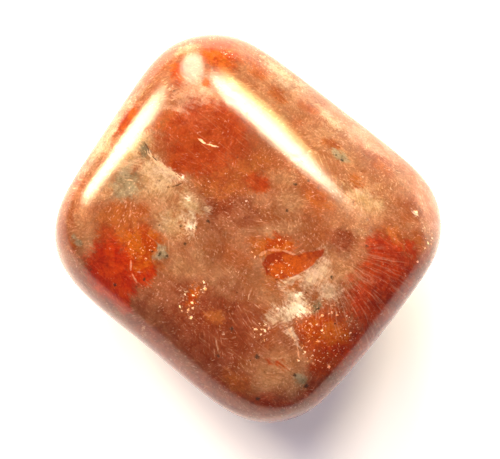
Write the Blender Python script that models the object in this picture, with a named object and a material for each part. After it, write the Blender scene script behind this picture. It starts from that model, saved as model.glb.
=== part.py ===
"""A tumbled sunstone: one polished pebble of feldspar, about 25 mm long, lying on its flattest side.

The pebble was tumbled until the broken faces of the rough stone wore down to low flats that run into
each other over broad rounded edges. Its form is the soft intersection of those worn flats.
"""

import bmesh
import bpy
import numpy as np
from mathutils import Vector, noise

MM = 0.001

# The worn flats, as the way each one faces and how far it lies from the pebble's heart.
# (azimuth in degrees from +X towards +Y, elevation in degrees above the floor, distance in mm)
WORN_FLATS = {
    "crown": (250, 88, 7.9),
    "base": (0, -90, 7.9),
    # shoulders, which slope from the crown down to the sides
    "long_shoulder": (0, 40, 13.4),
    "short_shoulder": (181, 58, 11.6),
    "broad_shoulder": (85, 52, 9.3),
    "near_shoulder": (268, 40, 12.15),
    # the four sides, and the worn corners between them
    "long_end": (-1, -10, 11.6),
    "broad_side": (90.5, -6, 10.85),
    "short_end": (186, 2, 12.2),
    "near_side": (268.5, -8, 11.05),
    "right_corner": (44, 8, 14.35),
    "top_corner": (137, 14, 14.6),
    "left_corner": (228, 10, 14.6),
    "bottom_corner": (315, 2, 14.75),
    # bilges, which turn the sides and corners in under the pebble
    "long_bilge": (0, -30, 11.55),
    "broad_bilge": (90, -30, 10.75),
    "short_bilge": (182, -28, 12.75),
    "near_bilge": (270, -30, 10.95),
    "right_bilge": (45, -34, 12.9),
    "top_bilge": (137, -34, 13.9),
    "left_bilge": (228, -34, 13.3),
    "bottom_bilge": (315, -34, 13.0),
    # keels, which lead from the bilges to the base
    "long_keel": (0, -54, 10.6),
    "broad_keel": (90, -54, 10.0),
    "short_keel": (182, -54, 11.3),
    "near_keel": (270, -54, 10.0),
}
EDGE_SOFTNESS = 0.9 * MM  # a larger value rounds the edges between the flats more

# The seat is where the tumbling left the base truly flat, so that the pebble lies still.
SEAT_DEPTH = 0.45 * MM  # cut off the rounded base
SEAT_BLEND = 0.25 * MM  # height over which the flat runs out into the rounded base

# Slow swells and dips that tumbling leaves, too shallow to change the outline.
SWELL_HEIGHT = 0.16 * MM
SWELL_LENGTH = 7.5 * MM
SWELL_SEED = Vector((3.1, 7.4, 1.9))

GRID = 24  # quads along each side of the starting cube
HALVINGS = 40  # steps of the search for the surface along each ray


def heading(azimuth, elevation):
    """Unit vector that points along the given compass angle and height, in degrees."""
    a, e = np.radians(azimuth), np.radians(elevation)
    return np.array([np.cos(a) * np.cos(e), np.sin(a) * np.cos(e), np.sin(e)])


def reach(rays):
    """Distance from the heart to the soft intersection of the flats, along each unit ray."""
    facing = np.array([heading(az, el) for az, el, _ in WORN_FLATS.values()])
    distance = np.array([d * MM for _, _, d in WORN_FLATS.values()])
    along = rays @ facing.T
    inside = np.zeros(len(rays))
    outside = np.full(len(rays), 4 * distance.max())
    for _ in range(HALVINGS):
        middle = (inside + outside) / 2
        over = (along * middle[:, None] - distance) / EDGE_SOFTNESS
        past = np.log(np.exp(over).sum(axis=1)) > 0
        outside = np.where(past, middle, outside)
        inside = np.where(past, inside, middle)
    return (inside + outside) / 2


def swell(point):
    """Height of the slow unevenness at a point of the surface."""
    return SWELL_HEIGHT * noise.noise(Vector(point) / SWELL_LENGTH + SWELL_SEED)


def settle(points):
    """Cuts the seat flat at z = 0 and centres the pebble over the origin."""
    points = points.copy()
    points[:, 2] -= points[:, 2].min() + SEAT_DEPTH
    height = points[:, 2] / SEAT_BLEND
    blended = SEAT_BLEND * (height + 1) ** 2 / 4
    points[:, 2] = np.where(height < -1, 0, np.where(height < 1, blended, points[:, 2]))
    middle = (points.min(axis=0) + points.max(axis=0)) / 2
    points[:, :2] -= middle[:2]
    return points


def pebble_mesh():
    """A cube of quads, each corner of which is moved out or in along its ray to the worn surface."""
    form = bmesh.new()
    bmesh.ops.create_cube(form, size=2)
    bmesh.ops.subdivide_edges(form, edges=form.edges[:], cuts=GRID - 1, use_grid_fill=True)
    rays = np.array([v.co.normalized() for v in form.verts])
    surface = rays * reach(rays)[:, None]
    surface += rays * np.array([swell(p) for p in surface])[:, None]
    for vertex, point in zip(form.verts, settle(surface)):
        vertex.co = point
    bmesh.ops.recalc_face_normals(form, faces=form.faces[:])
    mesh = bpy.data.meshes.new("sunstone")
    form.to_mesh(mesh)
    form.free()
    mesh.shade_smooth()
    return mesh


def feldspar():
    """Polished peach-orange feldspar, reddened by specks of haematite."""
    material = bpy.data.materials.new("sunstone_feldspar")
    material.use_nodes = True
    shader = material.node_tree.nodes["Principled BSDF"]
    shader.inputs["Base Color"].default_value = (0.50, 0.15, 0.06, 1)
    shader.inputs["Roughness"].default_value = 0.15
    shader.inputs["Metallic"].default_value = 0
    shader.inputs["IOR"].default_value = 1.54
    return material


def main():
    for left_over in list(bpy.data.objects):
        bpy.data.objects.remove(left_over)
    parts = bpy.data.collections.new("sunstone")
    bpy.context.scene.collection.children.link(parts)
    pebble = bpy.data.objects.new("sunstone", pebble_mesh())
    pebble.data.materials.append(feldspar())
    parts.objects.link(pebble)


main()
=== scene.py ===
"""A tumbled sunstone, seen from above on a pale floor: one polished pebble of feldspar with its colours."""

import math

import bmesh
import bpy
import numpy as np
from mathutils import Matrix, Vector, noise


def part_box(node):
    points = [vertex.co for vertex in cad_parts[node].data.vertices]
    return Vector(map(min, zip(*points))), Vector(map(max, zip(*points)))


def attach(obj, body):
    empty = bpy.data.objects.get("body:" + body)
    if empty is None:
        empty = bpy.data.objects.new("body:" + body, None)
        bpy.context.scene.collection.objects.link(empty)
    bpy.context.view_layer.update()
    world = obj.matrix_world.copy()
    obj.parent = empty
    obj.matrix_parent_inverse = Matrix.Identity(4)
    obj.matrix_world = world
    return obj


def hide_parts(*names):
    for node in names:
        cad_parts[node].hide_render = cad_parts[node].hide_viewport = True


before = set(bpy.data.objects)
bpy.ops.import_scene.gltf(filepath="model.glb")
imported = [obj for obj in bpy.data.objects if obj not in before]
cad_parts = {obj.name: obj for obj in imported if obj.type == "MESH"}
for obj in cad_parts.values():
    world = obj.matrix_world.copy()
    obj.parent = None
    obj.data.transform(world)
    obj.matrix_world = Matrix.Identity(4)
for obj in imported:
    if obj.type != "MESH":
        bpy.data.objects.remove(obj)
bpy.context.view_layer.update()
MM = 0.001

# Camera
# A long lens looks down on the pebble, 80 degrees above the floor, and turned so that the pebble's
# length runs from the upper left of the picture to the lower right.
PHOTO_WIDTH = 500
PHOTO_HEIGHT = 459
PIXELS_PER_MM = 13.7  # at the pebble
LENS_MM = 100
SENSOR_MM = 36
VIEW_AZIMUTH = math.radians(38)
VIEW_ELEVATION = math.radians(80)
AIM = Vector((0.33, 0.41, 6.97)) * MM

view_right = Vector((math.cos(VIEW_AZIMUTH), math.sin(VIEW_AZIMUTH), 0))
view_away = Vector((-math.sin(VIEW_AZIMUTH), math.cos(VIEW_AZIMUTH), 0))
view_back = -view_away * math.cos(VIEW_ELEVATION) + Vector((0, 0, math.sin(VIEW_ELEVATION)))
view_distance = LENS_MM / SENSOR_MM * PHOTO_WIDTH / PIXELS_PER_MM * MM

camera = bpy.data.objects.new("camera", bpy.data.cameras.new("camera"))
camera.data.lens = LENS_MM
camera.data.sensor_width = SENSOR_MM
camera.data.clip_start = 5 * MM
camera.location = AIM + view_back * view_distance
camera.rotation_euler = view_back.to_track_quat("Z", "Y").to_euler()
bpy.context.scene.collection.objects.link(camera)
bpy.context.scene.camera = camera


def sight_line(pixel):
    """Unit vector from the camera through a pixel of the photograph."""
    across = (pixel[0] - PHOTO_WIDTH / 2) * SENSOR_MM / PHOTO_WIDTH
    down = (pixel[1] - PHOTO_HEIGHT / 2) * SENSOR_MM / PHOTO_WIDTH
    return (camera.rotation_euler.to_matrix() @ Vector((across, -down, -LENS_MM))).normalized()


# The pebble
# One piece of feldspar, tumbled with grit until its broken faces were worn to low flats with round
# edges between them, and then polished. Its fine surface is the CAD form with the pits left in.
WORN_FLATS = (
    # azimuth and elevation of the way it faces in degrees, and distance from the heart in mm
    (250, 88, 7.9),
    (0, -90, 7.9),
    (0, 40, 13.4),
    (181, 58, 11.6),
    (85, 52, 9.3),
    (268, 40, 12.15),
    (-1, -10, 11.6),
    (90.5, -6, 10.85),
    (186, 2, 12.2),
    (268.5, -8, 11.05),
    (44, 8, 14.35),
    (137, 14, 14.6),
    (228, 10, 14.6),
    (315, 2, 14.75),
    (0, -30, 11.55),
    (90, -30, 10.75),
    (182, -28, 12.75),
    (270, -30, 10.95),
    (45, -34, 12.9),
    (137, -34, 13.9),
    (228, -34, 13.3),
    (315, -34, 13.0),
    (0, -54, 10.6),
    (90, -54, 10.0),
    (182, -54, 11.3),
    (270, -54, 10.0),
)
EDGE_SOFTNESS = 0.9 * MM
SEAT_DEPTH = 0.45 * MM
SEAT_BLEND = 0.25 * MM
SWELL_HEIGHT = 0.16 * MM
SWELL_LENGTH = 7.5 * MM
SWELL_SEED = Vector((3.1, 7.4, 1.9))
GRID = 126  # quads along each side of the starting cube
HALVINGS = 40

PIT_COUNT = 90
PIT_RADIUS = (0.28 * MM, 0.5 * MM)
PIT_DEPTH = (0.004 * MM, 0.016 * MM)
HEART = Vector((0.22, 0.32, 7.47)) * MM


def heading(azimuth, elevation):
    """Unit vector for a compass angle and a height, in degrees."""
    a, e = math.radians(azimuth), math.radians(elevation)
    return np.array([math.cos(a) * math.cos(e), math.sin(a) * math.cos(e), math.sin(e)])


def worn_surface(rays):
    """Where each ray from the heart leaves the soft intersection of the worn flats."""
    facing = np.array([heading(azimuth, elevation) for azimuth, elevation, _ in WORN_FLATS])
    distance = np.array([d * MM for _, _, d in WORN_FLATS])
    along = rays @ facing.T
    inside = np.zeros(len(rays))
    outside = np.full(len(rays), 4 * distance.max())
    for _ in range(HALVINGS):
        middle = (inside + outside) / 2
        past = np.log(np.exp((along * middle[:, None] - distance) / EDGE_SOFTNESS).sum(axis=1)) > 0
        outside = np.where(past, middle, outside)
        inside = np.where(past, inside, middle)
    return rays * ((inside + outside) / 2)[:, None]


def pitted(points, rays, seed):
    """Presses small shallow pits into the surface, where grains fell out while it was tumbled."""
    chance = np.random.default_rng(seed)
    for _ in range(PIT_COUNT):
        centre = points[chance.integers(len(points))]
        radius = chance.uniform(*PIT_RADIUS)
        depth = chance.uniform(*PIT_DEPTH)
        away = np.linalg.norm(points - centre, axis=1) / radius
        dent = np.where(away < 1, (1 - away**2) ** 2, 0)
        points -= rays * (depth * dent)[:, None]
    return points


def settled(points):
    """Cuts the seat flat and puts the pebble where its CAD solid is."""
    points[:, 2] -= points[:, 2].min() + SEAT_DEPTH
    height = points[:, 2] / SEAT_BLEND
    blended = SEAT_BLEND * (height + 1) ** 2 / 4
    points[:, 2] = np.where(height < -1, 0, np.where(height < 1, blended, points[:, 2]))
    low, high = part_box("sunstone")
    middle = (points.min(axis=0) + points.max(axis=0)) / 2
    points[:, 0] += (low[0] + high[0]) / 2 - middle[0]
    points[:, 1] += (low[1] + high[1]) / 2 - middle[1]
    return points


form = bmesh.new()
bmesh.ops.create_cube(form, size=2)
bmesh.ops.subdivide_edges(form, edges=form.edges[:], cuts=GRID - 1, use_grid_fill=True)
rays = np.array([v.co.normalized() for v in form.verts])
surface = worn_surface(rays)
swells = [SWELL_HEIGHT * noise.noise(Vector(p) / SWELL_LENGTH + SWELL_SEED) for p in surface]
surface = settled(surface + rays * np.array(swells)[:, None])
surface = pitted(surface, rays, seed=4)
surface[:, 2] = np.maximum(surface[:, 2], 0)
for vertex, point in zip(form.verts, surface):
    vertex.co = point
bmesh.ops.recalc_face_normals(form, faces=form.faces[:])
mesh = bpy.data.meshes.new("tumbled_sunstone")
form.to_mesh(mesh)
form.free()
mesh.shade_smooth()
pebble = bpy.data.objects.new("tumbled_sunstone", mesh)
bpy.context.scene.collection.objects.link(pebble)
bpy.context.view_layer.update()


# The colours lie in the stone as clouds, veins and streaks, but some clouds along the rims and between
# the upper highlights are painted light, noted where they stand. Each kind has a deep and a light colour,
# how far its edge frays, where the edge starts and ends from 0 outside to 1 in the middle, and its
# clouds: each runs from one pixel of the photograph to another, and is so many mm wide.
CLOUDS = {
    "mauve": (
        ("#723a22", "#855035"), 1.2, (0.05, 0.75),
        {
            "heart": ((198, 200), (262, 222), 2.4),
            "upper_heart": ((204, 178), (240, 196), 1.8),
            "lower_left": ((140, 292), (222, 352), 5.2),
            "middle": ((222, 286), (238, 345), 2.4),
            "beside_eye": ((328, 234), (352, 250), 1.3),
            "behind_whiskers": ((334, 304), (362, 286), 2.2),
            "vein_side": ((276, 336), (294, 352), 1.0),
            "lower_edge": ((130, 304), (240, 392), 2.0),
        },
    ),
    "tan": (
        ("#885a3c", "#996d4e"), 1.4, (0.05, 0.75),
        {
            "left_shoulder": ((98, 205), (122, 158), 2.0),
            "left": ((120, 172), (192, 216), 3.4),
            "low_left": ((150, 222), (186, 236), 1.7),
            "left_tip": ((76, 215), (98, 262), 1.8),
            "middle": ((168, 262), (214, 272), 1.7),
            "middle_low": ((196, 280), (250, 292), 1.6),
            "right": ((270, 172), (300, 182), 1.4),
            "right_low": ((280, 192), (304, 214), 1.5),
            "upper_right": ((318, 120), (352, 176), 2.6),
            "right_shoulder": ((335, 184), (392, 214), 3.2),
            "right_belly": ((340, 222), (392, 236), 1.6),
            "under_eye": ((248, 286), (306, 284), 1.8),
            "over_eye": ((240, 232), (312, 226), 1.0),
            "low": ((262, 356), (284, 390), 2.6),
            "halo": ((328, 264), (356, 240), 1.9),
            "spray": ((322, 268), (352, 284), 2.3),
            "upper_band": ((240, 60), (330, 130), 2.0),
        },
    ),
    "cream": (
        ("#967453", "#ae9175"), 1.6, (0.10, 0.80),
        {
            "shoulder": ((112, 172), (142, 140), 1.8),
            "heart": ((180, 198), (200, 210), 1.4),
            "low": ((158, 216), (184, 228), 1.4),
            "left": ((140, 160), (176, 192), 1.8),
            "right": ((345, 192), (384, 204), 1.4),
            # upper_edge and upper_edge_far are painted light: the upper right rim made pale where it faces
            # the lights.
            "upper_edge": ((260, 55), (312, 96), 1.6),
            "upper_edge_far": ((306, 98), (352, 136), 1.3),
            # left_edge is painted light: the upper left rim made pale and creamy where it faces the lights.
            "left_edge": ((78, 186), (146, 80), 2.0),
            "window_bank": ((126, 156), (156, 132), 1.3),
            # top_edge is painted light: the top rim made pale where it faces the lights.
            "top_edge": ((172, 56), (200, 44), 1.0),
        },
    ),
    # The pink clouds are painted light: the pale haze about the two upper highlights, between them.
    "pink": (
        ("#a87c64", "#bf9c84"), 0.8, (0.05, 0.70),
        {
            "top": ((178, 98), (218, 104), 2.5),
            "top_low": ((168, 106), (186, 118), 1.2),
        },
    ),
    # The rose clouds are painted light: the pink sheen of reflected light along the upper right and right
    # rims.
    "rose": (
        ("#a0684f", "#b48069"), 0.6, (0.05, 0.60),
        {
            "upper_edge": ((324, 104), (404, 166), 1.8),
            "right_edge": ((418, 172), (435, 250), 2.0),
        },
    ),
    # The brick clouds are painted shade: a deep red band along the lower edges, which turn from the lights.
    "brick": (
        ("#742408", "#86381a"), 0.9, (0.05, 0.60),
        {
            "left_edge": ((68, 266), (120, 312), 1.4),
            "lower_left_edge": ((118, 310), (186, 372), 1.8),
            "low_edge": ((180, 368), (254, 410), 2.0),
            "bottom_edge": ((250, 409), (300, 405), 1.9),
            "lower_right_edge": ((298, 406), (352, 368), 2.0),
            "right_low_edge": ((350, 368), (396, 304), 2.0),
            "right_high_edge": ((394, 306), (430, 250), 1.6),
        },
    ),
    "umber": (
        ("#6b2a0e", "#783920"), 1.3, (0.05, 0.70),
        {
            "low": ((182, 316), (252, 346), 5.0),
            "low_base": ((308, 376), (350, 362), 2.4),
            "heart": ((206, 190), (232, 212), 1.8),
            "under_whiskers": ((338, 288), (356, 312), 1.6),
            "beside_eye": ((330, 238), (356, 246), 1.4),
            "right": ((372, 236), (404, 262), 2.0),
        },
    ),
    "rust": (
        ("#803e18", "#904e20"), 1.4, (0.10, 0.65),
        {
            "left": ((96, 216), (148, 228), 2.4),
            "left_low": ((120, 240), (158, 270), 2.6),
            "left_rim": ((64, 234), (74, 254), 0.9),
            "window_side": ((236, 154), (268, 172), 1.8),
            "below_window": ((192, 174), (262, 186), 1.8),
            "window_rim": ((158, 126), (178, 112), 1.2),
            "right": ((306, 184), (332, 206), 1.7),
            "upper_first": ((246, 54), (264, 80), 1.0),
            "upper_second": ((268, 86), (286, 100), 1.1),
            "upper_third": ((298, 102), (320, 114), 1.2),
            "upper_fourth": ((322, 140), (340, 150), 0.9),
            "upper_fifth": ((372, 158), (394, 172), 1.1),
            "upper_sixth": ((350, 178), (364, 186), 0.7),
            "eye_left": ((246, 240), (264, 250), 1.1),
            "eye_foot": ((262, 282), (312, 268), 1.9),
            "beside_flakes": ((208, 312), (222, 320), 0.8),
            "low_third": ((222, 378), (252, 386), 1.2),
            "right_high": ((380, 226), (404, 250), 1.6),
            "right_rim": ((414, 232), (424, 254), 0.9),
            "left_speck": ((132, 206), (150, 212), 1.0),
        },
    ),
    "red": (
        ("#802804", "#8f3a10"), 1.1, (0.10, 0.60),
        {
            "window": ((170, 136), (244, 136), 4.0),
            "window_low": ((166, 148), (216, 166), 2.0),
            "window_high": ((180, 116), (226, 118), 1.6),
            "middle_spot": ((252, 176), (264, 190), 1.1),
            "low_spot": ((272, 356), (284, 368), 0.7),
            "low_field": ((300, 326), (352, 344), 2.7),
            "low_base": ((306, 360), (352, 356), 1.8),
            "left_rise": ((96, 236), (122, 246), 1.6),
            "shoulder_streak": ((142, 104), (110, 142), 0.9),
        },
    ),
    "blood": (
        ("#7c1c02", "#942e06"), 1.0, (0.12, 0.55),
        {
            "right_field": ((402, 252), (364, 336), 3.6),
            "right_field_top": ((366, 248), (404, 252), 1.5),
            "right_field_low": ((372, 326), (346, 368), 2.2),
            "right_fork": ((406, 236), (414, 264), 0.8),
            "low_field": ((324, 348), (354, 350), 1.0),
        },
    ),
    "scarlet": (
        ("#8e1c00", "#a43200"), 0.9, (0.14, 0.50),
        {
            "left_patch": ((104, 250), (122, 298), 2.9),
            "left_patch_tail": ((112, 286), (128, 312), 1.4),
            "left_patch_side": ((137, 256), (148, 284), 1.3),
        },
    ),
    "orange": (
        ("#8c3000", "#9e4e0a"), 1.4, (0.12, 0.60),
        {
            "top_blob": ((206, 58), (236, 54), 2.2),
            "top_spot": ((204, 76), (208, 88), 0.6),
            "top_streak": ((184, 58), (174, 88), 0.8),
            "shoulder_streak": ((138, 108), (116, 134), 0.7),
            "left": ((126, 236), (158, 252), 1.8),
            "left_low": ((130, 250), (150, 268), 1.2),
            "eye_crest": ((256, 246), (298, 244), 1.2),
            "flakes": ((184, 306), (206, 286), 0.6),
            "gold": ((302, 326), (348, 338), 1.3),
        },
    ),
    "grey": (
        ("#66543f", "#86765f"), 1.5, (0.12, 0.70),
        {
            "left_patch": ((118, 174), (132, 194), 1.9),
            "left_patch_high": ((138, 144), (150, 158), 0.7),
            "right_speck": ((330, 152), (346, 160), 0.8),
            "left_tip": ((74, 236), (80, 246), 0.6),
            "low_speck": ((314, 304), (322, 310), 0.5),
            "vein_speck": ((292, 374), (307, 387), 0.6),
            "flake_stain": ((154, 250), (168, 256), 0.7),
        },
    ),
    "milk": (
        ("#9c7e68", "#ba9f8a"), 1.8, (0.12, 0.80),
        {
            "vein_low": ((270, 324), (296, 306), 1.3),
            "vein_heart": ((286, 312), (306, 296), 1.6),
            "vein_high": ((304, 298), (325, 252), 1.4),
            "eye_foot": ((268, 290), (318, 272), 0.7),
            "spray_low": ((322, 290), (338, 300), 1.2),
            "tooth": ((188, 212), (192, 236), 0.8),
            "vein_foot": ((286, 326), (298, 356), 0.4),
            "crack_bank": ((150, 158), (190, 186), 0.7),
            "flakes_side": ((204, 192), (210, 216), 0.7),
        },
    ),
    "white": (
        ("#ccb8a4", "#ecdfd0"), 1.4, (0.15, 0.70),
        {
            "tooth": ((190, 216), (192, 232), 0.4),
            "vein": ((280, 316), (308, 304), 1.0),
            "vein_high": ((298, 302), (305, 288), 0.6),
            "chip": ((178, 174), (188, 178), 0.3),
            # The dent is painted light: a white spot where light glints in a small dent by the right edge.
            "dent": ((414, 207), (416, 217), 0.3),
            "left_glint": ((184, 198), (198, 204), 0.4),
        },
    ),
}
CLOUD_DEPTH = 0.7  # of a cloud's width, into the stone

# The sides and the underside, which the photograph hides, have the same kinds of clouds.
HIDDEN_CLOUDS = {
    "mauve": 5,
    "tan": 8,
    "cream": 10,
    "umber": 6,
    "rust": 11,
    "red": 12,
    "blood": 4,
    "orange": 7,
    "milk": 8,
}
HIDDEN_ELEVATION = (-52, 0)
HIDDEN_REACH = (5, 26)  # degrees from one end of a cloud to the other
HIDDEN_WIDTH = (1.0, 3.8)


def spot_at(pixel):
    """Point of the pebble's surface, and the way it faces there, that a pixel of the photograph shows."""
    hit, place, facing, _ = pebble.ray_cast(camera.location, sight_line(pixel))
    if not hit:
        raise ValueError(f"no stone at pixel {pixel}")
    return place, facing


def spot_towards(azimuth, elevation):
    """The same for the part of the surface that lies in a direction from the heart, in degrees."""
    out = Vector(heading(azimuth, elevation))
    _, place, facing, _ = pebble.ray_cast(HEART + out * 2 * pebble.dimensions.x, -out)
    return place, facing


def linear(hex_colour):
    """Linear colour of an sRGB hex value."""
    values = [int(hex_colour[i : i + 2], 16) / 255 for i in (1, 3, 5)]
    return [v / 12.92 if v <= 0.04045 else ((v + 0.055) / 1.055) ** 2.4 for v in values] + [1]


def add(kind, *values, **settings):
    """Adds a shader node with its settings, and fills its inputs in order: a node or a socket is
    linked, and any other value is set."""
    made = nodes.new("ShaderNode" + kind)
    for name, value in settings.items():
        setattr(made, name, value)
    inputs = [socket for socket in made.inputs if socket.enabled]
    for socket, value in zip(inputs, values):
        if isinstance(value, bpy.types.Node):
            value = next(output for output in value.outputs if output.enabled)
        if isinstance(value, bpy.types.NodeSocket):
            links.new(value, socket)
        else:
            socket.default_value = value
    return made


# Tumbled and polished feldspar: translucent, with a glassy gloss. Haematite plates too fine to see
# colour it in red clouds, albite makes it cream or milky, and larger plates glint like metal.
feldspar = bpy.data.materials.new("tumbled_feldspar")
feldspar.use_nodes = True
nodes = feldspar.node_tree.nodes
links = feldspar.node_tree.links
nodes.clear()
SMOOTH = {"interpolation_type": "SMOOTHSTEP"}
BLEND = {"data_type": "RGBA"}
GREY = (0.5, 0.5, 0.5)

in_mm = add("VectorMath", add("TexCoord").outputs["Object"], 1 / MM, operation="SCALE")


def drifted(where, most_mm, size_mm):
    """Coordinates pushed about by noise, so that what is drawn in them gets a natural outline."""
    push = add("TexNoise", where, 1 / size_mm, 3, 0.6).outputs["Color"]
    push = add("VectorMath", push, GREY, operation="SUBTRACT")
    return add("VectorMath", push, (2 * most_mm,) * 3, where, operation="MULTIPLY_ADD")


# The stone is a mass of crystals a millimetre or two across, each cleaved in a direction of its own,
# which shows as fibres. Real ones are a few hundredths of a millimetre, too fine to show, so these
# are as coarse as a pixel needs.
CRYSTAL_MM = 1.7
FIBRE_MM = 0.13
FIBRE_STRETCH = 0.88  # of the distance along the cleavage is left out, so the noise is drawn out
crystals = add("TexVoronoi", drifted(in_mm, 0.6, 0.8), 1 / CRYSTAL_MM)
cleavage = add("VectorMath", crystals.outputs["Color"], GREY, operation="SUBTRACT")
cleavage = add("VectorMath", cleavage, operation="NORMALIZE")
along = add("VectorMath", in_mm, cleavage, operation="DOT_PRODUCT")
along = add("Math", along, -FIBRE_STRETCH, operation="MULTIPLY")
squeezed = add("VectorMath", cleavage, along, operation="SCALE")
squeezed = add("VectorMath", in_mm, squeezed, operation="ADD")
fibres = add("TexNoise", squeezed, 1 / FIBRE_MM, 3, 0.65)

# One cleavage runs along the whole pebble, so the colours feather out that way.
STREAK_MM = (1.8, 0.13, 0.2)
FEATHER_MM = 1.2
streak_frame = add("Mapping", in_mm, (0, 0, 0), (0, 0, 0), [1 / size for size in STREAK_MM])
streaks = add("TexNoise", streak_frame, 1, 2, 0.6)
feather = add("Math", streaks, 0.5, operation="SUBTRACT")
feather = add("CombineXYZ", add("Math", feather, FEATHER_MM, operation="MULTIPLY"))
cloudy = drifted(drifted(in_mm, 0.9, 2.2), 0.3, 0.5)
cloudy = add("VectorMath", cloudy, feather, operation="ADD")


def cloud(start, end, width_mm, where):
    """Falls from 1 in the middle of a marking to 0 well outside it."""
    (start, facing_a), (end, facing_b) = start, end
    along = (end - start).normalized()
    side = (facing_a + facing_b).cross(along).normalized()
    turn = Matrix((along, side, along.cross(side))).transposed()
    length_mm = (end - start).length / MM
    reach = Vector((length_mm + width_mm, 2 * width_mm, 2 * width_mm * CLOUD_DEPTH)) / 2
    middle = (start + end) / 2 / MM
    local = add("Mapping", where, middle, turn.to_euler(), reach, vector_type="TEXTURE")
    return add("TexGradient", local, gradient_type="SPHERICAL").outputs["Fac"]


def highest(spots, where):
    """Clouds at several places, drawn as one: the highest of them at each point."""
    top = None
    for spot in spots:
        height = cloud(*spot, where)
        top = add("Math", top, height, operation="MAXIMUM") if top else height
    return top


def seen_spots(ends):
    """Places on the stone for marks given by their two pixels and width."""
    return [(spot_at(a), spot_at(b), width) for a, b, width in ends]


def hidden_spots(count, chance):
    """Places for as many clouds on the sides and the underside."""
    for _ in range(count):
        azimuth = chance.uniform(0, 360)
        elevation = chance.uniform(*HIDDEN_ELEVATION)
        turn = chance.uniform(0, 2 * math.pi)
        reach = chance.uniform(*HIDDEN_REACH)
        end = spot_towards(azimuth + reach * math.cos(turn), elevation + reach * math.sin(turn) / 2)
        yield spot_towards(azimuth, elevation), end, chance.uniform(*HIDDEN_WIDTH)


# Ground colour: brown-orange feldspar, mottled with tan, and deeper in small blotches. The sides,
# found by which way the surface faces, are a little redder: painted glow, not a colour of the stone.
MOTTLE_MM = 2.6
BLOTCH_MM = 0.9
BLOTCH_STRENGTH = 0.5
PAINTED_SIDE_GLOW_STRENGTH = 0.35
mottle = add("TexNoise", cloudy, 1 / MOTTLE_MM, 3, 0.6)
mottle = add("MapRange", mottle, 0.42, 0.62, 0, 1, **SMOOTH)
blotch = add("TexNoise", in_mm, 1 / BLOTCH_MM, 3, 0.65)
deep = add("MapRange", blotch, 0.38, 0.62, 0, 1, **SMOOTH)
colour = add("Mix", mottle, linear("#824626"), linear("#906044"), **BLEND)
deepened = add("Math", deep, BLOTCH_STRENGTH, operation="MULTIPLY")
colour = add("Mix", deepened, colour, linear("#78401f"), **BLEND)
# Painted glow: where the surface turns from upward to the side, it is tinted redder.
facing_up = add("SeparateXYZ", add("NewGeometry").outputs["Normal"]).outputs["Z"]
painted_side_glow = add("MapRange", facing_up, 0.75, 0.2, 0, PAINTED_SIDE_GLOW_STRENGTH, **SMOOTH)
colour = add("Mix", painted_side_glow, colour, linear("#94523c"), **BLEND)

# The edge of a cloud frays in lumps of half a millimetre, along the fibres and in single grains.
LUMP_MM = 0.55
GRIT_MM = 0.2
FRAY_REACH = 0.4  # of a cloud's fraying, as a share of its height
CLEAR_KINDS = ("red", "blood", "scarlet", "orange")
lumps = add("TexNoise", in_mm, 1 / LUMP_MM, 3, 0.65)
grit = add("TexNoise", in_mm, 1 / GRIT_MM, 2, 0.7)
fray = 0
for pattern, share in ((lumps, 1.3), (grit, 0.7), (fibres, 1.1)):
    swing = add("Math", pattern, 0.5, operation="SUBTRACT")
    fray = add("Math", swing, share, fray, operation="MULTIPLY_ADD")
clear = 0
chance = np.random.default_rng(11)
for kind, (tints, fraying, edge, ends) in CLOUDS.items():
    spots = seen_spots(ends.values())
    spots += hidden_spots(HIDDEN_CLOUDS.get(kind, 0), chance)
    height = highest(spots, cloudy)
    frayed = add("Math", fray, FRAY_REACH * fraying, height, operation="MULTIPLY_ADD")
    cover = add("MapRange", frayed, *edge, 0, 0.95, **SMOOTH)
    tint = add("Mix", deep, linear(tints[1]), linear(tints[0]), **BLEND)
    colour = add("Mix", cover, colour, tint, **BLEND)
    if kind in CLEAR_KINDS:
        clear = add("Math", clear, cover, operation="MAXIMUM")

# The fibres show pale where the light enters them, here and there, and faintly in the red clouds,
# which are clear.
FIBRE_PATCH_MM = 1.4
IN_CLEAR_STONE = 0.12  # share of the fibres that shows there
fibre_place = add("TexNoise", in_mm, 1 / FIBRE_PATCH_MM, 3, 0.6)
fibre_place = add("MapRange", fibre_place, 0.42, 0.62, 0.15, 0.6, **SMOOTH)
cloudiness = add("MapRange", clear, 0, 0.8, 1, IN_CLEAR_STONE)
fibre_place = add("Math", fibre_place, cloudiness, operation="MULTIPLY")
pale = add("MapRange", fibres, 0.54, 0.72, 0, 1, **SMOOTH)
pale = add("Math", pale, fibre_place, operation="MULTIPLY")
colour = add("Mix", pale, colour, linear("#c49e80"), **BLEND)
pale = add("MapRange", streaks, 0.58, 0.74, 0, 0.18, **SMOOTH)
colour = add("Mix", pale, colour, linear("#b88c6a"), **BLEND)

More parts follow.
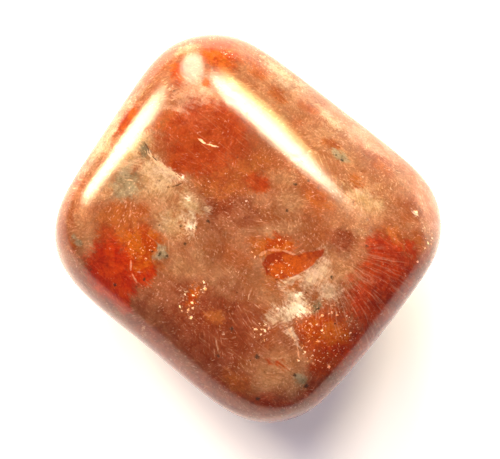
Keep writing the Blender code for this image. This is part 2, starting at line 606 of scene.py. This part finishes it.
# The eye is a wedge of clear red feldspar between flat cleavages, orange where it thins out below.
# Each part of it is given by the pixels of its corners, clockwise.
EYE = {
    "left": ((262, 264), (266, 254), (282, 251), (300, 257), (300, 274), (283, 280), (267, 276)),
    "right": ((288, 256), (298, 254), (327, 242), (324, 254), (312, 266), (298, 275)),
}
EYE_THIN = ((268, 274), (318, 262), 1.1)
eye_place = drifted(in_mm, 0.12, 0.5)
eye = None
for corners in EYE.values():
    inside = None
    for corner, next_corner in zip(corners, corners[1:] + corners[:1]):
        start, facing = spot_at(corner)
        inward = (spot_at(next_corner)[0] - start).cross(facing).normalized()
        depth = add("VectorMath", eye_place, inward, operation="DOT_PRODUCT")
        depth = add("Math", depth, start.dot(inward) / MM, operation="SUBTRACT")
        inside = add("Math", inside, depth, operation="MINIMUM") if inside else depth
    eye = add("Math", eye, inside, operation="MAXIMUM") if eye else inside
eye = add("Math", fray, 0.12, eye, operation="MULTIPLY_ADD")
thin = highest(seen_spots([EYE_THIN]), cloudy)
thin = add("Math", deep, 0.4, thin, operation="MULTIPLY_ADD")
thin = add("MapRange", thin, 0.25, 0.85, 0, 1, **SMOOTH)
eye_tint = add("Mix", thin, linear("#7a2404"), linear("#9c440c"), **BLEND)
eye = add("MapRange", eye, -0.04, 0.1, 0, 0.95, **SMOOTH)
colour = add("Mix", eye, colour, eye_tint, **BLEND)

# The whiskers are thin fibres of albite that fan out from the milky vein.
FAN_TIP = (318, 246)
FAN_MIDDLE = (356, 296)
FAN_PLACE = {
    "middle": ((326, 272), (366, 306), 4.2),
    "right": ((358, 258), (400, 300), 3.0),
    "low": ((346, 306), (372, 342), 2.0),
}
WHISKERS_PER_RADIAN = 32
WHISKER_RUN = 0.45  # changes along a whisker for each millimetre
tip, tip_facing = spot_at(FAN_TIP)
forward = (spot_at(FAN_MIDDLE)[0] - tip).normalized()
sideways = tip_facing.cross(forward)
from_tip = add("VectorMath", drifted(in_mm, 0.2, 1.8), tip / MM, operation="SUBTRACT")
ahead = add("VectorMath", from_tip, forward, operation="DOT_PRODUCT")
aside = add("VectorMath", from_tip, sideways, operation="DOT_PRODUCT")
bearing = add("Math", aside, ahead, operation="ARCTAN2")
bearing = add("Math", bearing, WHISKERS_PER_RADIAN, operation="MULTIPLY")
fan = add("CombineXYZ", bearing, add("Math", ahead, WHISKER_RUN, operation="MULTIPLY"))
whiskers = add("TexNoise", fan, 1, 4, 0.7)
whiskers = add("MapRange", whiskers, 0.48, 0.70, 0, 1, **SMOOTH)
fan_place = highest(seen_spots(FAN_PLACE.values()), cloudy)
fan_place = add("MapRange", fan_place, 0.05, 0.55, 0, 0.55, **SMOOTH)
whiskers = add("Math", whiskers, fan_place, operation="MULTIPLY")
colour = add("Mix", whiskers, colour, linear("#b08468"), **BLEND)

# Cracks: the dark one over the cream shoulder with its pale bank, and fine pale ones that catch the
# light. Each has a colour, how strong it is, and its runs from pixel to pixel with a width in mm.
CRACKS = {
    "shoulder_bank": (
        "#c9a78a", 0.75,
        (((147, 148), (153, 160), 0.17), ((151, 157), (170, 172), 0.2), ((166, 169), (187, 182), 0.16)),
    ),
    "shoulder": (
        "#4a3424", 0.85,
        (
            ((143, 139), (151, 156), 0.1), ((150, 154), (162, 165), 0.06), ((170, 188), (185, 182), 0.07),
            ((172, 172), (184, 181), 0.05),
        ),
    ),
    "window_glint": ("#ecc8a4", 0.85, (((197, 138), (207, 144), 0.1), ((205, 144), (220, 147), 0.07))),
    "window_scratch": ("#c88458", 0.6, (((180, 117), (222, 141), 0.06),)),
    "eye_crest": (
        "#c89674", 0.5,
        (((256, 257), (268, 250), 0.14), ((266, 250), (282, 250), 0.15), ((280, 250), (298, 255), 0.12)),
    ),
    "left_vein": ("#c48a66", 0.7, (((131, 258), (131, 274), 0.1), ((131, 272), (138, 284), 0.1))),
    "low_vein": (
        "#c48e6c", 0.7,
        (((285, 322), (297, 346), 0.09), ((297, 344), (300, 362), 0.08), ((300, 360), (312, 382), 0.11)),
    ),
    "corner": ("#8a6848", 0.8, (((187, 68), (206, 65), 0.07),)),
}
crack_place = drifted(in_mm, 0.12, 0.5)
for tint, most, runs in CRACKS.values():
    crack = highest(seen_spots(runs), crack_place)
    crack = add("MapRange", crack, 0.1, 0.5, 0, most, **SMOOTH)
    colour = add("Mix", crack, colour, linear(tint), **BLEND)

# Dark specks are grains of iron oxide: the larger ones one by one, with their pixel and radius in
# mm, and the rest scattered.
SPECKS = {
    "left": (
        (115, 285, 0.12), (144, 280, 0.12), (160, 254, 0.14), (152, 251, 0.08), (167, 256, 0.08),
        (159, 225, 0.09), (181, 226, 0.08), (196, 227, 0.08), (128, 148, 0.07),
    ),
    "middle": (
        (185, 244, 0.1), (208, 221, 0.12), (232, 329, 0.12), (218, 356, 0.1), (295, 184, 0.12),
        (308, 181, 0.08), (287, 211, 0.11), (257, 357, 0.13), (250, 361, 0.07), (258, 399, 0.14),
    ),
    "right": (
        (332, 277, 0.11), (306, 293, 0.07), (318, 308, 0.14), (306, 386, 0.15), (295, 375, 0.11),
        (336, 155, 0.1), (342, 160, 0.1), (360, 184, 0.07), (367, 246, 0.08), (335, 324, 0.08),
    ),
}
SPECK_SPACING_MM = 0.8
speck_place = drifted(in_mm, 0.2, 0.18)


def nearest_of(groups, where):
    """How far the nearest of several spots is, as a share of its radius."""
    nearest = None
    for x, y, radius_mm in [mark for group in groups.values() for mark in group]:
        distance = add("VectorMath", where, spot_at((x, y))[0] / MM, operation="DISTANCE")
        distance = add("Math", distance, radius_mm, operation="DIVIDE")
        nearest = add("Math", nearest, distance, operation="MINIMUM") if nearest else distance
    return nearest


dark = add("MapRange", nearest_of(SPECKS, speck_place), 1.5, 0.5, 0, 0.85, **SMOOTH)
colour = add("Mix", dark, colour, linear("#33241a"), **BLEND)
cell = add("TexVoronoi", speck_place, 1 / SPECK_SPACING_MM)
kept = add("SeparateColor", cell.outputs["Color"])
dark = add("MapRange", cell, 0.13, 0.05, 0, 0.7, **SMOOTH)
dark = add("Math", dark, add("MapRange", kept, 0.5, 0.9, 0, 1), operation="MULTIPLY")
colour = add("Mix", dark, colour, linear("#4a2a18"), **BLEND)

# Pale flecks are short cleavage cracks that catch the light, most of them in the middle. They lie
# two ways: each way has a turn about the vertical, and a spacing along and across in mm.
FLECK_PLACE = {"heart": ((200, 190), (262, 226), 3.2), "right": ((350, 170), (400, 210), 2.8)}
FLECKS = {"long": (0.9, 0.55, 0.28), "cross": (2.3, 0.50, 0.25)}
FLECK_TILT = (0.4, 0.2)
fleck_place = highest(seen_spots(FLECK_PLACE.values()), in_mm)
fleck_place = add("MapRange", fleck_place, 0.0, 0.5, 0.3, 1, **SMOOTH)
for turn, along_mm, across_mm in FLECKS.values():
    spacing = (1 / along_mm, 1 / across_mm, 1 / across_mm)
    turned = add("Mapping", speck_place, (turn, 0, 0), (*FLECK_TILT, turn), spacing)
    cell = add("TexVoronoi", turned, 1)
    kept = add("SeparateColor", cell.outputs["Color"])
    shown = add("MapRange", cell, 0.22, 0.10, 0, 1, **SMOOTH)
    shown = add("Math", shown, add("MapRange", kept, 0.87, 1.0, 0, 0.7), operation="MULTIPLY")
    shown = add("Math", shown, fleck_place, operation="MULTIPLY")
    colour = add("Mix", shown, colour, linear("#f0d0b0"), **BLEND)

# Each crystal is a little lighter or darker than the next, and the grain of the feldspar goes down
# to a tenth of a millimetre.
GRAIN_MM = 0.13
shade = add("SeparateColor", crystals.outputs["Color"]).outputs["Blue"]
shade = add("MapRange", shade, 0, 1, 0.9, 1.1)
grain = add("TexNoise", in_mm, 1 / GRAIN_MM, 3, 0.7)
lightness = add("MapRange", grain, 0.30, 0.70, 0.76, 1.22)
lightness = add("Math", lightness, shade, operation="MULTIPLY")
lightness = add("Math", lightness, add("MapRange", fibres, 0.3, 0.7, 0.84, 1.14), operation="MULTIPLY")
colour = add("VectorMath", colour, lightness, operation="SCALE")

# Plates of copper and haematite glint like metal: the larger ones one by one, with their pixel and
# radius in mm, and the small ones in clusters.
FLAKES = {
    "copper": (
        (204, 282, 0.07), (205, 289, 0.11), (193, 295, 0.08), (192, 303, 0.08), (180, 307, 0.07),
        (188, 310, 0.1), (193, 308, 0.07), (191, 318, 0.1), (182, 311, 0.06), (187, 313, 0.07),
    ),
    "gold": (
        (322, 316, 0.07), (310, 324, 0.07), (322, 330, 0.08), (318, 341, 0.07), (309, 341, 0.07),
        (305, 352, 0.09), (337, 315, 0.06), (329, 367, 0.1), (298, 361, 0.07), (308, 333, 0.06),
    ),
    "gold_left": ((265, 330, 0.09), (256, 329, 0.08), (261, 335, 0.08), (265, 340, 0.05)),
    "eye": ((277, 261, 0.06), (282, 271, 0.07), (305, 266, 0.05), (255, 257, 0.07), (252, 252, 0.06)),
    "right": ((432, 238, 0.07), (418, 262, 0.09), (428, 243, 0.09), (425, 248, 0.07), (416, 212, 0.12)),
}
CLUSTERS = {
    "gold": ((298, 322), (352, 340), 2.8),
    "gold_left": ((254, 328), (268, 336), 0.9),
    "gold_low": ((300, 350), (330, 364), 1.0),
    "copper": ((184, 306), (204, 284), 0.9),
    "crest": ((262, 240), (300, 244), 0.7),
    "eye": ((268, 260), (290, 276), 1.0),
    "left": ((130, 240), (152, 256), 1.2),
    "top": ((222, 48), (234, 56), 0.8),
    "right_edge": ((424, 226), (432, 246), 0.9),
}
FLAKE_SPACING_MM = 0.17
flake_place = drifted(in_mm, 0.2, 0.16)
glint = add("MapRange", nearest_of(FLAKES, flake_place), 1.3, 0.6, 0, 1, **SMOOTH)
cluster = highest(seen_spots(CLUSTERS.values()), in_mm)
cluster = add("MapRange", cluster, 0.1, 0.5, 0, 0.9, **SMOOTH)
cell = add("TexVoronoi", flake_place, 1 / FLAKE_SPACING_MM)
kept = add("SeparateColor", cell.outputs["Color"])
small = add("MapRange", cell, 0.4, 0.2, 0, 1, **SMOOTH)
small = add("Math", small, add("MapRange", kept, 0.55, 0.95, 0, 1), operation="MULTIPLY")
small = add("Math", small, cluster, operation="MULTIPLY")
glint = add("Math", glint, small, operation="MAXIMUM")
glint_tint = add("Mix", kept.outputs["Green"], linear("#ee9a50"), linear("#fff0cc"), **BLEND)
colour = add("Mix", glint, colour, glint_tint, **BLEND)

# Fine pits, the long cleavage and the grain break up the polish.
PIT_SPACING_MM = 0.28
RELIEF_MM = 0.012
cell = add("TexVoronoi", in_mm, 1 / PIT_SPACING_MM)
kept = add("SeparateColor", cell.outputs["Color"])
relief = add("MapRange", cell, 0.30, 0.05, 0, -0.8, **SMOOTH)
relief = add("Math", relief, add("MapRange", kept, 0.7, 0.85, 0, 1), operation="MULTIPLY")
relief = add("Math", streaks, 0.5, relief, operation="MULTIPLY_ADD")
relief = add("Math", grain, 0.6, relief, operation="MULTIPLY_ADD")
bump = add("Bump", 0.7, RELIEF_MM * MM)
links.new(relief.outputs[0], bump.inputs["Height"])

# Light goes deep into the stone, red the deepest, and glows out again at the thin edges.
FELDSPAR_ROUGHNESS = 0.15
FELDSPAR_IOR = 1.54
LIGHT_DEPTH_MM = 6
shader = add("BsdfPrincipled", colour, 0, FELDSPAR_ROUGHNESS, FELDSPAR_IOR, 1, bump)
shader.inputs["Specular IOR Level"].default_value = 0.45
shader.inputs["Subsurface Weight"].default_value = 1
shader.inputs["Subsurface Radius"].default_value = (1.0, 0.3, 0.12)
shader.inputs["Subsurface Scale"].default_value = LIGHT_DEPTH_MM * MM
add("OutputMaterial", shader)
pebble.data.materials.append(feldspar)

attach(pebble, "root")
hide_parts("sunstone")


# The floor
# A sheet of opal acrylic on a light box, which glows a little and runs out of the picture in every
# direction.
FLOOR_SIZE = 1.2
OPAL_WHITE = "#efecf0"
GLOW_STRENGTH = 0.3

bpy.ops.mesh.primitive_grid_add(size=FLOOR_SIZE, x_subdivisions=4, y_subdivisions=4)
floor = bpy.context.object
floor.name = "floor"
acrylic = bpy.data.materials.new("opal_acrylic")
acrylic.use_nodes = True
sheet = acrylic.node_tree.nodes["Principled BSDF"]
sheet.inputs["Base Color"].default_value = linear(OPAL_WHITE)
sheet.inputs["Roughness"].default_value = 0.9
sheet.inputs["Emission Color"].default_value = linear(OPAL_WHITE)
sheet.inputs["Emission Strength"].default_value = GLOW_STRENGTH
floor.data.materials.append(acrylic)


# The lights
# Soft boxes with warm white cloth stand beyond the pebble, low enough to glint along its upper
# edges. One more hangs overhead behind a polarising sheet, so that it lights the stone with no
# glint, and a dim rosy sky fills the rest.
SOFT_BOXES = {
    # angle round the pebble from the picture's right and elevation in degrees, distance, width and
    # height in metres, watts, and the colour of the cloth
    "right": (63, 37, 0.5, (0.15, 0.15), 2.3, "#fff4d0"),
    "right_low": (61.5, 25, 0.5, (0.085, 0.06), 0.42, "#ffe892"),
    "left": (134.5, 35, 0.5, (0.1, 0.2), 2.3, "#ffefc0"),
    "left_far": (145.6, 34, 0.5, (0.06, 0.18), 1.3, "#ffefc0"),
    "back": (97, 29, 0.5, (0.22, 0.30), 2.9, "#fff2d2"),
    "overhead": (135, 72, 0.6, (0.3, 0.3), 1.65, "#fff6ff"),
}
SKY = "#f0d6ec"
SKY_STRENGTH = 0.18

for name, (angle, elevation, distance, size, watts, tint) in SOFT_BOXES.items():
    turn = math.radians(angle)
    along_floor = view_right * math.cos(turn) + view_away * math.sin(turn)
    rise = math.radians(elevation)
    lamp = bpy.data.lights.new(name, "AREA")
    lamp.shape = "ELLIPSE"
    lamp.size, lamp.size_y = size
    lamp.energy = watts
    lamp.color = linear(tint)[:3]
    box = bpy.data.objects.new(name, lamp)
    box.location = (along_floor * math.cos(rise) + Vector((0, 0, math.sin(rise)))) * distance
    box.rotation_euler = box.location.to_track_quat("Z", "Y").to_euler()
    box.visible_glossy = name != "overhead"
    bpy.context.scene.collection.objects.link(box)

world = bpy.data.worlds.new("pale_sky")
world.use_nodes = True
world.node_tree.nodes["Background"].inputs["Color"].default_value = linear(SKY)
world.node_tree.nodes["Background"].inputs["Strength"].default_value = SKY_STRENGTH
bpy.context.scene.world = world
bpy.context.scene.view_settings.view_transform = "Standard"
